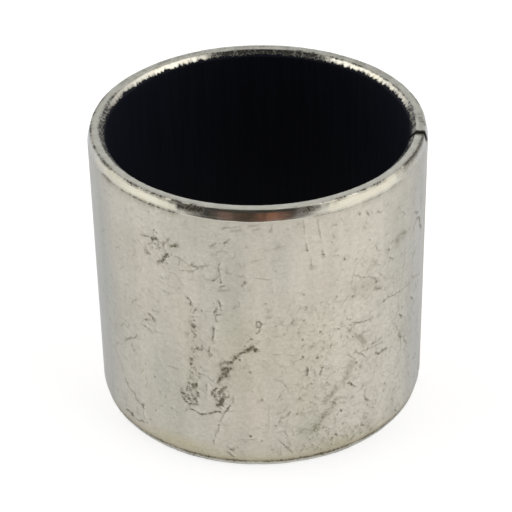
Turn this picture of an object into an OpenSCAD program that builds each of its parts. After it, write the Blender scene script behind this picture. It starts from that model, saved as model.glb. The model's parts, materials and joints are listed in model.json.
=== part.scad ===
// Self-lubricating bush: a flat strip of plated steel with a dark sliding layer
// bonded to one face, rolled into a tube so that its two ends close at a straight butt joint.
// The origin is the centre of the lower end. +Z runs along the bore and the joint faces +X.

/* [Bush] */
// Diameter of the bore that the shaft runs in
bore_d = 25; // [10:0.5:60]
// Length of the bush along its axis
bush_len = 25; // [8:0.5:60]

/* [Rolled strip] */
// Thickness of the plated steel backing
steel_t = 1.35; // [0.9:0.05:2.2]
// Thickness of the dark sliding layer bonded to the backing
liner_t = 0.15; // [0.1:0.05:0.4]

/* [Rim edges] */
// Length along the axis of the outer lead-in chamfer, which guides the bush into its housing
lead_in_len = 0.95; // [0.4:0.05:1.1]
// Slope of the lead-in chamfer from the axis, in degrees
lead_in_angle = 15; // [12:1:25]
// Leg of the 45 degree chamfer at each mouth of the bore
mouth_chamfer = 0.55; // [0.3:0.05:0.6]

/* [Butt joint] */
// Width of the straight gap where the two ends of the strip meet
joint_gap = 0.45; // [0.1:0.05:0.8]
// Leg of the broken edge along each side of the joint, on the outside
joint_edge_break = 0.12; // [0.05:0.01:0.3]

/* [Smoothness] */
// Segments round the bush
round_steps = 180; // [48:12:360]

/* [Hidden] */
$fn = round_steps;
bore_r = bore_d / 2;
// Radius of the face where the sliding layer is bonded to the steel
bond_r = bore_r + liner_t;
outer_r = bond_r + steel_t;
// How far the lead-in chamfer brings the outside in at the rim
lead_in_drop = lead_in_len * tan(lead_in_angle);
half_gap = joint_gap / 2;
// How far a cutting shape stands past what it cuts
cut_past = 1;

// Section of the rolled strip, both layers together, chamfered at both ends
module strip_section() {
    polygon([
        [bore_r, mouth_chamfer],
        [bore_r + mouth_chamfer, 0],
        [outer_r - lead_in_drop, 0],
        [outer_r, lead_in_len],
        [outer_r, bush_len - lead_in_len],
        [outer_r - lead_in_drop, bush_len],
        [bore_r + mouth_chamfer, bush_len],
        [bore_r, bush_len - mouth_chamfer]
    ]);
}

// Shape cut out at the joint: a parallel gap that flares at the outer skin
module joint_cut() {
    translate([0, 0, -cut_past])
        linear_extrude(bush_len + 2 * cut_past)
            polygon([
                [bore_r - cut_past, -half_gap],
                [outer_r - joint_edge_break, -half_gap],
                [outer_r + cut_past, -half_gap - joint_edge_break - cut_past],
                [outer_r + cut_past, half_gap + joint_edge_break + cut_past],
                [outer_r - joint_edge_break, half_gap],
                [bore_r - cut_past, half_gap]
            ]);
}

// The whole rolled strip, both layers together, closed to its joint
module rolled_strip() {
    difference() {
        rotate_extrude()
            strip_section();
        joint_cut();
    }
}

// Everything inside the bonded face, past both ends
module bond_core() {
    translate([0, 0, -cut_past])
        cylinder(r = bond_r, h = bush_len + 2 * cut_past);
}

// Plated steel backing with the outer seat, both rims and the lead-in chamfers
module steel_shell() {
    color([0.74, 0.72, 0.67])
        difference() {
            rolled_strip();
            bond_core();
        }
}

// Dark sliding layer that lines the bore
module sliding_liner() {
    color([0.05, 0.05, 0.06])
        intersection() {
            rolled_strip();
            bond_core();
        }
}

steel_shell();
sliding_liner();
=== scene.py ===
import json
import math
import bmesh
import bpy
import numpy as np
from mathutils import Matrix, Vector
from mathutils.geometry import delaunay_2d_cdt


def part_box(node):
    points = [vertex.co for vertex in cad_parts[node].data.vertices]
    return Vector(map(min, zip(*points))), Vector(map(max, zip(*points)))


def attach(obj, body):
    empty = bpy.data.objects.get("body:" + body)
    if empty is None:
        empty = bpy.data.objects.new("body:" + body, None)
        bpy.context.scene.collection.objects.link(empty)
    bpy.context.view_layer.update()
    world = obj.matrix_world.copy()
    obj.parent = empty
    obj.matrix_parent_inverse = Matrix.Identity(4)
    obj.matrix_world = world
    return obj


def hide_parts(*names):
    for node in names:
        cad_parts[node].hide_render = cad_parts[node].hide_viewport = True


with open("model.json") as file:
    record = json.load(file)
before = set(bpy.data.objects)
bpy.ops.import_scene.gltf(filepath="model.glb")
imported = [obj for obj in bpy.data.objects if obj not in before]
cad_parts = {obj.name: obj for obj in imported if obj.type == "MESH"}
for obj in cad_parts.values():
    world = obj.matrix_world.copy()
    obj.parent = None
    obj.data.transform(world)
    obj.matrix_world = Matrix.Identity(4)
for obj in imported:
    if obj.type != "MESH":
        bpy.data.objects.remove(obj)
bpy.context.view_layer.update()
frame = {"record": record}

# Sizes of the bush in millimetres, from the frame
MM = 0.001
mounts = {mount["name"]: mount for mount in frame["record"]["mounts"]}
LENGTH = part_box("steel_shell")[1][2] / MM
OUTER_R = mounts["housing_seat"]["dims"]["r_mm"]
BORE_R = mounts["bore"]["dims"]["r_mm"]
BOND_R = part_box("sliding_liner")[1][1] / MM
LEAD_IN = (LENGTH - mounts["housing_seat"]["dims"]["length_mm"]) / 2
MOUTH = (LENGTH - mounts["bore"]["dims"]["length_mm"]) / 2

# Sizes that the frame doesn't name, as in the part's source
LEAD_IN_DEG = 15
JOINT_GAP = 0.45
JOINT_BREAK = 0.12

# Small unevenness of the real form, in millimetres
CHAMFER_BOW = 0.015
LAND_ROUNDING = 0.10
MOUTH_ROUNDING = 0.08
BORE_ROUNDING = 0.06
MARK_DEPTH = 0.004
BORE_UNEVEN = 0.004

# The side that faces the camera lies this far round from +X, so the joint shows near the right edge
FRONT_DEG = -80.0

# The photograph's camera: angles in degrees, distance in millimetres and focal length in pixels
CAMERA_AZIMUTH = FRONT_DEG + 90
CAMERA_DISTANCE = 165.74
CAMERA_ELEVATION = 33.118
CAMERA_PITCH = 33.325
CAMERA_YAW = -0.136
CAMERA_ROLL = -1.121
FOCAL_PX = 1935.15
IMAGE_PX = 512
SENSOR_MM = 36.0

# Mesh densities, the room between the wall's inner points and its edges, and what counts as one point
RIM_COLUMNS = 720
BORE_ROWS = 24
WALL_STEP = 0.5
SIDE_STEP = 0.3
MARK_STEP = 0.09
JOINT_ROOM = 0.3
RIM_ROOM = 0.12
EDGE_ROW = 0.07
SAME_POINT = 0.03
EDGE_NEAR = 1e-4
MERGE_NEAR = 1e-6
# How far below the mouth chamfers the bonded face and the plain bore start
BOND_START = 0.4
BORE_START = 0.8

# Seeds of the random draws, of the two rims and of the other noises
SCATTER_SEED, STIPPLE_SEED = 5, 8
TOP_SEED, BOTTOM_SEED = 11, 47
BORE_SEED, STAIN_SEED, GRAIN_SEED, SHADE_AND_GRIME_SEED = 71, 81, 99, 113

LEAD_IN_DROP = LEAD_IN * math.tan(math.radians(LEAD_IN_DEG))
HALF_GAP = JOINT_GAP / 2
# The rolled strip: where it starts after the joint, how far it goes round, in radians, and its length
JOINT_START = math.asin(HALF_GAP / OUTER_R)
ROLLED = 2 * math.pi - 2 * JOINT_START
STRIP = OUTER_R * ROLLED
WALL = LENGTH - 2 * LEAD_IN
# First and last row of the wall's lattice of even triangles, and the step between its rows
LATTICE_LOW, LATTICE_HIGH, LATTICE_STEP = 0.4, WALL - 0.3, WALL_STEP * 0.866
# How far the torn border of the steel may reach in the mouth chamfer
TEAR_LOW, TEAR_HIGH = BORE_R + 0.09, BOND_R + 0.16

# Widening of the lines and dots, and reach and soft end of a mark in half widths
LINE_WIDENING = 1.15
DOT_WIDENING = 1.35
MARK_REACH = 1.4
MARK_FADE = 0.8

# Marks on the wall: width, strength and places, each in degrees right of the front and millimetres of height
LINES = [
    # Scuffs at the upper left
    (0.24, 0.9, (-37.2, 20.95), (-35.2, 21.1)),
    (0.18, 0.5, (-34.7, 20.85), (-31.7, 21), (-30.3, 21.5)),
    (0.18, 0.55, (-41.7, 20.85), (-38, 21)),
    (0.18, 0.5, (-40.4, 19.6), (-39.2, 19.3)),
    (0.15, 0.5, (-38.9, 20.3), (-37.2, 20.5)),
    (0.24, 0.8, (-29.8, 20.85), (-27.5, 21.05)),
    (0.3, 0.95, (-33.8, 19.1), (-32.4, 19.6), (-31, 19.9)),
    (0.16, 0.45, (-35.5, 20.1), (-32.3, 20.6)),
    (0.14, 0.5, (-28, 20), (-25.7, 19.85), (-23.3, 19.45), (-21, 19.45), (-19.7, 19.55), (-16.7, 19.8)),
    (0.16, 0.8, (-20, 19.45), (-21.2, 19.15)),
    (0.12, 0.45, (-26.6, 19.95), (-27, 19.3)),
    (0.12, 0.4, (-27, 18.8), (-25.7, 18.8), (-23.3, 18.95), (-21.2, 19.1)),
    # Faint scratches at the top of the middle
    (0.12, 0.4, (-11.8, 23.3), (-9.5, 23.5), (-6.7, 23.65)),
    (0.12, 0.35, (-8, 23.2), (-6, 23.3)),
    (0.14, 0.4, (-2.7, 23.7), (-0.3, 23.75)),
    (0.14, 0.35, (-2, 23.35), (0, 23.45)),
    (0.14, 0.4, (3.9, 23.75), (3.6, 23.2)),
    (0.18, 0.55, (-11.3, 22.05), (-9.5, 22.45)),
    (0.16, 0.45, (-15.8, 21.6), (-13.8, 22)),
    (0.16, 0.4, (-13.8, 21.15), (-12, 21.3), (-10.2, 21.25)),
    (0.16, 0.4, (-15.8, 20.8), (-13.7, 20.95)),
    (0.12, 0.5, (-12.8, 20.25), (-13.5, 19.6), (-12.7, 19), (-12.7, 18.3)),
    (0.12, 0.45, (-13.3, 19), (-14.3, 18.6), (-15.6, 18.35)),
    (0.16, 0.55, (-12.8, 17.95), (-11.7, 18.05)),
    (0.14, 0.4, (-13, 17.55), (-10, 17.7)),
    (0.18, 0.55, (-6, 18.2), (-4.7, 18.45)),
    (0.14, 0.35, (-1.8, 20.5), (0, 20.6)),
    (0.12, 0.3, (2.5, 21.5), (7.7, 21.75)),
    (0.12, 0.35, (-2, 18.95), (1, 18.8), (2.7, 18.75)),
    (0.12, 0.35, (-7, 16.7), (-7, 16.2), (-8.7, 15.95)),
    (0.12, 0.35, (2, 15.1), (2.8, 15.1)),
    # Long dribble of stains left of the middle
    (0.13, 0.6, (-25, 16.4), (-23.8, 16.3), (-23.2, 16), (-23.5, 15.75)),
    (0.14, 0.5, (-21.3, 15.55), (-22.5, 15)),
    (0.12, 0.4, (-24, 14.6), (-21, 14.7)),
    (0.16, 0.65, (-23.3, 13.15), (-21.9, 12.85), (-22.7, 12.6)),
    (0.14, 0.55, (-20, 11.95), (-19.8, 11.5), (-21.5, 11.5)),
    (0.15, 0.55, (-17.5, 11.8), (-17.4, 10.95)),
    (0.12, 0.4, (-22.8, 9.6), (-22.3, 9)),
    (0.14, 0.5, (-24.5, 8.7), (-24.8, 8.2)),
    (0.15, 0.65, (-13.4, 16.5), (-13.2, 15.95)),
    (0.15, 0.6, (-14.4, 15.85), (-15.1, 15.5)),
    (0.16, 0.6, (-15, 15.15), (-13.7, 15.25)),
    (0.13, 0.5, (-14.8, 15), (-14.7, 14.6)),
    (0.15, 0.7, (-15.6, 13.85), (-15.8, 13.1), (-16.2, 12.65)),
    (0.14, 0.7, (-1.6, 14.55), (-1.2, 14.75), (-0.2, 14.75), (0.2, 14.5), (-0.3, 14.25), (-1.2, 14.25),
                (-1.6, 14.55)),
    (0.14, 0.6, (-0.4, 14.2), (-0.5, 13.9), (-1.3, 13.6)),
    (0.12, 0.35, (4, 14.2), (5.7, 14.4), (8, 14.3)),
    # Arm of the stain that runs down from the middle
    (0.34, 0.95, (-1.8, 12), (-3, 12.25), (-4.7, 11.9)),
    (0.24, 0.85, (-4.7, 11.9), (-6, 11.75), (-7.4, 11.45)),
    (0.24, 0.75, (-8, 11.3), (-9.2, 10.9), (-10, 10.6)),
    (0.28, 0.7, (-10.4, 10.75), (-12.8, 10.5)),
    (0.5, 0.95, (-11.7, 9.95), (-12.7, 9.5)),
    (0.28, 0.9, (-12.4, 9.2), (-13.4, 9.1)),
    (0.2, 0.85, (-13.7, 9.05), (-14.8, 8.45)),
    (0.12, 0.45, (-20.3, 9.1), (-19.7, 9.05), (-18, 8.85), (-16.2, 8.5)),
    (0.14, 0.4, (-18.7, 8.2), (-19, 7.5)),
    # Blotches at the foot of the dribble
    (0.3, 0.85, (-28, 6.65), (-26.6, 6.4)),
    (0.2, 0.65, (-27, 5.9), (-25.3, 5.7), (-22.2, 5.9)),
    (0.24, 0.85, (-15.3, 7.9), (-16.7, 7.5), (-17.3, 7.05)),
    (0.26, 0.85, (-12.3, 8.1), (-13.7, 7.7), (-14.8, 7.4)),
    (0.36, 1, (-13.4, 6.85), (-14, 6.55)),
    (0.26, 0.9, (-14, 6.3), (-15, 6.15)),
    (0.17, 0.75, (-25, 5.15), (-23.3, 5.15), (-21.7, 4.93), (-20, 5), (-18, 5.2), (-16, 5.45), (-14.5, 5.5)),
    (0.22, 0.8, (-11, 6.25), (-12.2, 5.7)),
    (0.16, 0.5, (-12.4, 5.65), (-13.3, 5.2), (-14.3, 4.5)),
    (0.14, 0.5, (-9.7, 7.2), (-9.8, 6.6)),
    (0.14, 0.5, (-15.1, 3.8), (-15.3, 3.5)),
    (0.14, 0.5, (-16, 3.2), (-16.2, 2.9)),
    (0.14, 0.55, (-16.8, 2.5), (-17, 2.2)),
    # Scratches on the left
    (0.14, 0.4, (-66.3, 18.2), (-63.8, 18.65)),
    (0.16, 0.5, (-56, 18), (-54, 18.35)),
    (0.14, 0.4, (-48.3, 13.6), (-46.5, 14.1)),
    (0.15, 0.45, (-38.3, 13.95), (-36.3, 14.05)),
    (0.22, 0.6, (-40.3, 13.4), (-39, 13.35), (-38, 13.1)),
    (0.24, 0.55, (-42.7, 12.6), (-40.3, 12.85)),
    (0.18, 0.5, (-43.7, 12), (-42, 11.95), (-39.7, 11.8)),
    (0.16, 0.5, (-55.7, 10.35), (-54.3, 10.7), (-51.8, 10.7)),
    (0.18, 0.6, (-54.2, 9.05), (-52, 9.45), (-50.3, 9.8), (-48.7, 10), (-46.7, 10.5)),
    (0.15, 0.5, (-50.3, 9.35), (-49.5, 8.9), (-48.5, 8.65)),
    (0.16, 0.4, (-60.5, 7.65), (-58.5, 8.15)),
    (0.13, 0.35, (-45.5, 6.8), (-44.5, 7.3)),
    (0.14, 0.45, (-32.5, 8.95), (-30, 9)),
    (0.5, 0.2, (-62.3, 7.2), (-59.3, 6.6), (-56.8, 5.7)),
    (0.18, 0.55, (-55.3, 4.9), (-53.7, 4.25), (-52, 4.2), (-50, 4.05), (-49.2, 3.5), (-47.3, 3.4),
                 (-46, 3.45)),
    (0.22, 0.75, (-46.4, 3.45), (-45.6, 3.2)),
    (0.12, 0.35, (-45.9, 3), (-45.8, 2.3)),
    (0.22, 0.9, (-55.7, 1.5), (-54.2, 1.65), (-51.8, 1.45)),
    (0.18, 0.75, (-50.3, 1.45), (-48.2, 1.4), (-46, 1.7)),
    (0.15, 0.45, (-43.4, 2.2), (-41.8, 2.4)),
    # Scratches at the upper right
    (0.15, 0.35, (14, 23.9), (14.1, 23.2), (14.3, 22.6)),
    (0.16, 0.55, (14.8, 21.75), (15.3, 21)),
    (0.13, 0.45, (16.3, 20.2), (16.6, 19.6)),
    (0.18, 0.45, (16.6, 19.6), (16.7, 19.25)),
    (0.13, 0.45, (18.7, 23.7), (19, 23), (19.5, 22.3), (19.8, 22)),
    (0.18, 0.5, (20.3, 20.8), (20.8, 20.35)),
    (0.17, 0.65, (36.7, 23.1), (37.8, 22.65)),
    (0.16, 0.6, (41.8, 22.6), (43, 22.4)),
    (0.13, 0.35, (24, 22.1), (24.5, 21.7)),
    (0.24, 0.5, (40, 18.2), (41, 17.8), (42.5, 17.5)),
    (0.16, 0.4, (40.7, 19.6), (42.3, 18.9)),
    (0.17, 0.65, (48.2, 17.55), (49.8, 17.2)),
    (0.15, 0.45, (33.3, 17.5), (35.3, 17.05), (37.7, 16.95), (40, 16.6), (41.7, 16)),
    (0.24, 0.6, (40.6, 16.5), (41.9, 15.95)),
    (0.14, 0.35, (30.8, 17), (31.3, 16.4)),
    (0.22, 0.65, (40.7, 15.4), (43.3, 15.15)),
    (0.14, 0.4, (43.3, 16.55), (44.6, 16.2), (46.3, 15.7)),
    (0.15, 0.55, (31.7, 13.1), (34, 12.8), (36, 12.65), (40, 12.65)),
    # Scratches at the far right
    (0.16, 0.45, (54, 21.15), (56.3, 20.75)),
    (0.24, 0.7, (64.8, 19.65), (67.2, 19.3)),
    (0.3, 0.8, (66.7, 18.85), (68.4, 18.55), (69.8, 18.4), (70.2, 18), (70.7, 17.55), (72.3, 17.2)),
    (0.2, 0.4, (72.3, 17.2), (73, 16.7)),
    (0.2, 0.45, (54.5, 19), (57.5, 18.75)),
    (0.16, 0.3, (57, 16.7), (57.3, 16.1), (57, 15.6)),
    (0.15, 0.5, (46, 13.65), (47.7, 13.7), (50, 13.6), (54, 13.45), (59, 13.3), (63, 13.15)),
    (0.14, 0.45, (63.4, 13.7), (64.4, 13.3)),
    (0.15, 0.45, (64.7, 13.3), (67.7, 13.05), (70.3, 12.7), (72.7, 12.5)),
    (0.24, 0.65, (63.2, 11.55), (65.3, 11)),
    (0.2, 0.65, (54.7, 11.05), (56.7, 10.55)),
    (0.14, 0.4, (50.2, 11), (51.5, 10.55)),
    (0.24, 0.65, (54.5, 9.05), (55.4, 8.75), (55.8, 8.4)),
    (0.15, 0.6, (58.3, 7.95), (61, 7.2)),
    (0.2, 0.8, (53.8, 1.25), (54.8, 0.9)),
    (0.45, 0.35, (76, 2), (76.3, 4)),
    # Scratches at the lower right
    (0.22, 0.65, (15.2, 9.75), (15.1, 9.2)),
    (0.22, 0.55, (20.8, 9.55), (19.5, 8.95)),
    (0.14, 0.4, (20.3, 7.4), (22, 7.9)),
    (0.14, 0.45, (33.3, 11.45), (36, 11.6), (39, 11.55)),
    (0.4, 0.4, (34.7, 11.4), (36.7, 10.6)),
    (0.16, 0.65, (33, 9.95), (35.3, 9.6), (37.2, 9.1)),
    (0.14, 0.5, (36, 9.75), (39, 9.7), (42.7, 9.65), (45.2, 9.6)),
    (0.14, 0.55, (39.7, 10.05), (42, 10), (44.7, 10.1)),
    (0.14, 0.45, (30, 10), (33, 9.3)),
    (0.24, 0.75, (42, 8.85), (43.7, 8.65), (46.3, 8.75), (47.7, 8.6)),
    (0.18, 0.65, (30.7, 7.1), (32, 6.7), (33.5, 6.4)),
    (0.14, 0.4, (25, 5.9), (28.7, 5.85)),
    (0.16, 0.55, (24.3, 5.75), (25.3, 5.45)),
    (0.16, 0.6, (37.2, 4.95), (38, 4.6), (39.5, 4.25)),
    (0.14, 0.45, (25.2, 4), (25.3, 3.4)),
    (0.12, 0.35, (11, 5.3), (14, 5.2), (17, 5.3)),
    (0.14, 0.45, (33.2, 2.15), (34.5, 2.2)),
    (0.18, 0.55, (36.2, 2.2), (36.9, 2)),
    # Faint line down the right side, with the marks beside it
    (0.12, 0.3, (57.2, 17.2), (57.2, 15.6), (55.7, 14.6), (54.1, 13.3), (53.7, 11.5), (51.7, 10.9),
                (52.8, 10.1)),
    (0.15, 0.45, (52.8, 10.1), (55.8, 8.8), (56.3, 7.3)),
    (0.12, 0.3, (55.5, 6), (55.1, 4.6), (52.7, 3.2), (51.9, 2.1)),
    (0.18, 0.5, (57.5, 8.5), (60.2, 7.4)),
    (0.15, 0.35, (39, 17.9), (37.3, 17.3)),
    (0.2, 0.45, (41.6, 17.95), (40.6, 17.8)),
    (0.24, 0.6, (41.7, 16.25), (41, 16.05)),
    (0.22, 0.5, (42.9, 15.25), (42, 15.1)),
    (0.14, 0.35, (46, 18.4), (46.6, 18.8)),
    (0.12, 0.3, (32.7, 18.6), (31.9, 17.9), (31.2, 17)),
    # Scratches low in the middle
    (0.12, 0.35, (4.5, 9), (6.7, 8.7), (8, 8.2), (8.8, 7.6)),
    (0.15, 0.5, (9.3, 5.6), (8.3, 5.2), (6, 5)),
    (0.12, 0.4, (-8, 2.85), (-3.3, 2.9)),
    (0.2, 0.7, (-12, 1.85), (-10.2, 1.65)),
    (0.2, 0.7, (-12.2, 1.4), (-11.2, 1.15), (-10.3, 1)),
    (0.15, 0.45, (5.7, 2.6), (7, 2.2)),
    (0.17, 0.55, (8, 1.9), (9.7, 1.35)),
    (0.12, 0.25, (2, 6.5), (2.1, 5.2), (2, 4)),
]
DOTS = [
    (0.15, 0.35,
     (-40.7, 21.7), (-34.2, 23.55), (-24, 23.45), (-35, 19.7), (9, 23.3), (-12.7, 22), (-5.2, 20.1),
     (5, 19.5), (-5.5, 17.75), (-3.5, 17.75), (1.7, 20.85), (2.5, 15.85), (2.2, 15.6), (-14.3, 13.6),
     (-49.7, 16.45), (-42.7, 15.6), (-44, 14.9), (-32.7, 14.8), (-40.7, 11.2), (-42.8, 11), (-38, 8),
     (-34.3, 7.35), (-33.7, 8.25), (-43.3, 6.6), (-46.3, 7.5), (-37, 5.15), (27, 23.25), (33.7, 21.75),
     (33.4, 18.55), (45.3, 18.65), (36, 15.15), (11, 16.35), (20.3, 14.05), (21, 13.7), (54, 10.55)),
    (0.17, 0.5,
     (-35, 21.65), (-36, 21.8), (-37, 20.15), (-40, 19.95), (-39.3, 19.55), (-30.4, 18.6), (-33.7, 17.55),
     (-38, 23.4), (-4.3, 21.75), (-10.7, 19.3), (1.7, 16.45), (8.7, 17.45), (-22.8, 15.7), (-23, 12.25),
     (-23.2, 10.85), (-20.5, 9.75), (-21.3, 8.65), (-13, 15.7), (-4.2, 12.85), (-5.3, 12.35), (-25.7, 7.5),
     (-22.8, 7.35), (-39.5, 15.7), (-38, 12.9), (-47, 11.45), (-54, 8.7), (-54, 7.35), (-43.3, 8.05),
     (-34.8, 5.6), (-39.5, 3.65), (-49, 2.1), (22.3, 23.65), (25.3, 22.85), (36.8, 22.1), (36.5, 21.65),
     (23.7, 21.4), (25.2, 20.45), (36.4, 19.45), (33, 19.1), (46.7, 18.1), (14, 17), (14.7, 15.5),
     (14.4, 14.55), (24.5, 15.05), (12.3, 13.4), (29.5, 13.65), (19.5, 21.65)),
    (0.2, 0.5,
     (52.7, 19.05), (51.7, 18.8), (63.7, 18.2), (55, 17.05), (56.5, 11.55), (57.2, 6.25), (63, 5.5),
     (54.7, 4.8), (51.3, 4.6), (52, 3.7), (53.3, 3.2), (51.3, 2.85), (46.3, 4.4), (47.2, 5.1), (16.7, 11.8),
     (17.3, 12.1), (20.8, 11.3), (23.8, 11.55), (11.8, 8.3), (12.7, 6.8), (16.3, 6.2), (13.8, 5.7),
     (11.7, 5.25), (22.8, 7.65), (24.8, 8.7), (25.3, 7.3), (33.2, 8.2), (34.7, 7.6), (35.2, 8.3),
     (42.7, 7.5), (28.7, 5.3), (31.7, 5.5), (36.7, 6.2), (33, 3.7), (28.3, 3.1), (41.2, 3.3), (13.7, 10.95)),
    (0.18, 0.7,
     (-38.3, 19.4), (-35, 18.95), (-29.7, 20.05), (-19.5, 15.35), (-22.3, 14.3), (-21.7, 11.55),
     (-21.2, 9.05), (-3.5, 13.05), (-15, 4.1), (-39.2, 7.15), (-32.3, 4.65), (-45.5, 2.1), (-44.2, 1.75),
     (34, 23.2), (39.2, 22.75), (38.4, 20.3), (47.5, 18.4), (31.6, 15.6), (25.5, 16.1), (19.7, 13.1),
     (30.7, 13.45), (30.7, 12.9), (13.7, 12.65), (18.7, 10.6), (33.4, 8.95), (38.7, 3.9), (27.5, 4.5),
     (-4, 9.75), (0, 7), (4.5, 4.25), (-4.2, 3.2), (-0.5, 2.8), (29.8, 11.8)),
    (0.2, 0.65, (28.3, 19.4), (45.8, 13.65), (18, 6.7)),
    (0.22, 0.9, (-24.1, 9.85), (-7.3, 10.95), (-21.8, 6.75), (-16.2, 7), (-13, 7.4), (-25.3, 7.85),
                (-22.5, 7.85)),
    (0.32, 0.85, (-22.7, 13.75), (-23.9, 10.35), (-23.5, 7.75), (-23.3, 6.3), (-11.6, 10.65)),
    (0.22, 0.7,
     (-28.2, 7), (-27.4, 6.1), (-24.2, 6.7), (-25.5, 6.2), (-24.8, 7.2), (-26.2, 7), (-22.6, 6),
     (-27.9, 6.2), (-24.6, 6.05), (-25, 8.3), (-22.2, 7.1), (-15.6, 6.7), (-12.6, 7), (-15.9, 7.2)),
    (0.16, 0.4,
     (0.7, 10.95), (1.2, 4.4), (-5.7, 2.65), (-1.1, 2.35), (-8.7, 1.95), (-7.3, 1.6), (2.9, 1.8),
     (-4, 5.25), (-21.2, 0.95), (-11.3, 7.7), (-13.7, 9.9), (6, 11.2), (6, 10.2), (-3.3, 7.8)),
    (0.18, 0.5,
     (17, 2.5), (19, 2.3), (20.8, 2.1), (22.3, 2.65), (18.8, 1.35), (13.2, 1.4), (24.3, 1.2), (31, 2.5),
     (33, 1.25), (30, 1.6), (31.7, 1.1), (35.2, 1.7), (37.5, 2.7), (35.5, 1.3), (39.3, 1.6), (48.2, 2.2),
     (20.2, 1.1), (30.3, 1.05)),
    (0.22, 0.75, (24.3, 1.95), (25.5, 2.2), (40, 1.15), (54.5, 4.75), (16.7, 8.1)),
]
# Patches of fine dots: turn, height, spread of both, count and greatest strength
STIPPLE = [
    (-23.3, 14.2, 0.9, 1.1, 14, 0.7), (-23.2, 11.2, 0.9, 1.2, 14, 0.7), (-22.8, 8.9, 1, 0.8, 12, 0.7),
    (-27.2, 6.5, 0.8, 0.4, 14, 0.9), (-24.2, 6.3, 1, 0.5, 16, 0.9), (-24, 7.7, 0.9, 0.4, 12, 0.9),
    (-15.2, 7, 0.8, 0.5, 12, 0.9), (-13.2, 7.2, 0.9, 0.5, 14, 0.9), (-14.2, 6.1, 0.7, 0.3, 10, 0.9),
    (-12.2, 10.4, 1, 0.4, 14, 0.9), (-9.5, 10.9, 0.8, 0.3, 8, 0.7), (-14.3, 15.6, 0.6, 0.6, 8, 0.6),
    (-15.8, 12.9, 0.5, 0.9, 8, 0.6), (-17.3, 11.3, 0.4, 0.5, 6, 0.6), (-2.6, 12.4, 0.9, 0.3, 8, 0.6),
    (-36, 20.9, 1.6, 0.4, 14, 0.7), (-32.8, 20.2, 1.6, 0.5, 14, 0.7), (-32.2, 19.4, 0.9, 0.25, 10, 0.8),
    (-40.5, 12.9, 1.6, 0.7, 12, 0.5), (-12, 22, 2.2, 0.5, 12, 0.5), (-53.5, 1.7, 2.4, 0.3, 8, 0.7),
    (30.5, 12.9, 1.2, 0.5, 16, 0.75), (33, 11.9, 1.4, 0.5, 16, 0.75), (19.5, 12.2, 2.2, 0.8, 16, 0.45),
    (17, 9.8, 3, 1.3, 16, 0.5), (15.5, 7.2, 2.6, 1.2, 12, 0.45), (27, 3.4, 3.2, 0.9, 14, 0.45),
    (34, 17.2, 3, 1.4, 18, 0.45), (27, 21.5, 3, 1.5, 12, 0.4), (37.5, 3.2, 3.6, 1, 14, 0.45),
    (19, 2.1, 3.5, 0.7, 30, 0.7), (33, 1.7, 5.5, 0.5, 34, 0.7), (55, 12, 3, 1.6, 12, 0.4),
    (24.5, 6.3, 2, 0.6, 12, 0.55), (20.5, 4.4, 1.6, 0.5, 14, 0.65), (17.9, 3.4, 0.8, 0.25, 10, 0.7),
    (55.5, 8.5, 1.6, 1.2, 10, 0.5), (40.5, 17, 3, 1.4, 14, 0.5),
]
# Dull greenish smears: width, strength and places
SMEARS = [
    (0.48, 0.7, (31.3, 9), (30.4, 8.4), (29.6, 7.7), (27.3, 7.2), (24.7, 6.7), (22.7, 6.3), (21.3, 6)),
    (0.52, 0.8, (25, 5.6), (24.3, 5.2), (22.3, 4.8), (20.3, 4.3), (18.7, 3.6), (17.7, 3.3)),
    (0.38, 0.7, (17.7, 3.3), (16, 3.2), (13, 3.45)),
    (0.55, 0.9, (19, 3.8), (18.4, 3.5)),
    (0.45, 0.8, (22.4, 4.9), (21.4, 4.6)),
    (1.8, 0.08, (30, 7.8), (24, 6), (18.5, 3.6)),
    (0.5, 0.6, (34.7, 11.4), (36.7, 10.6)),
    (1.4, 0.4, (33, 16.2), (37, 16)),
    (1.2, 0.12, (15, 1.9), (26, 1.9), (40, 1.8)),
    (1, 0.45, (57.3, 9.3), (57, 8.9)),
    (0.9, 0.4, (34.1, 15.9), (36.1, 16.3)),
    (0.45, 0.7, (56.9, 18.8), (54.5, 19), (52.4, 18.8), (52, 18.3)),
    (0.7, 0.4, (43, 13.7), (43.2, 13.7)),
    (1.4, 0.16, (-24, 7), (-23, 9.5), (-23, 13.5)),
    (1.4, 0.3, (-13, 7), (-12.5, 9.8)),
]
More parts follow.
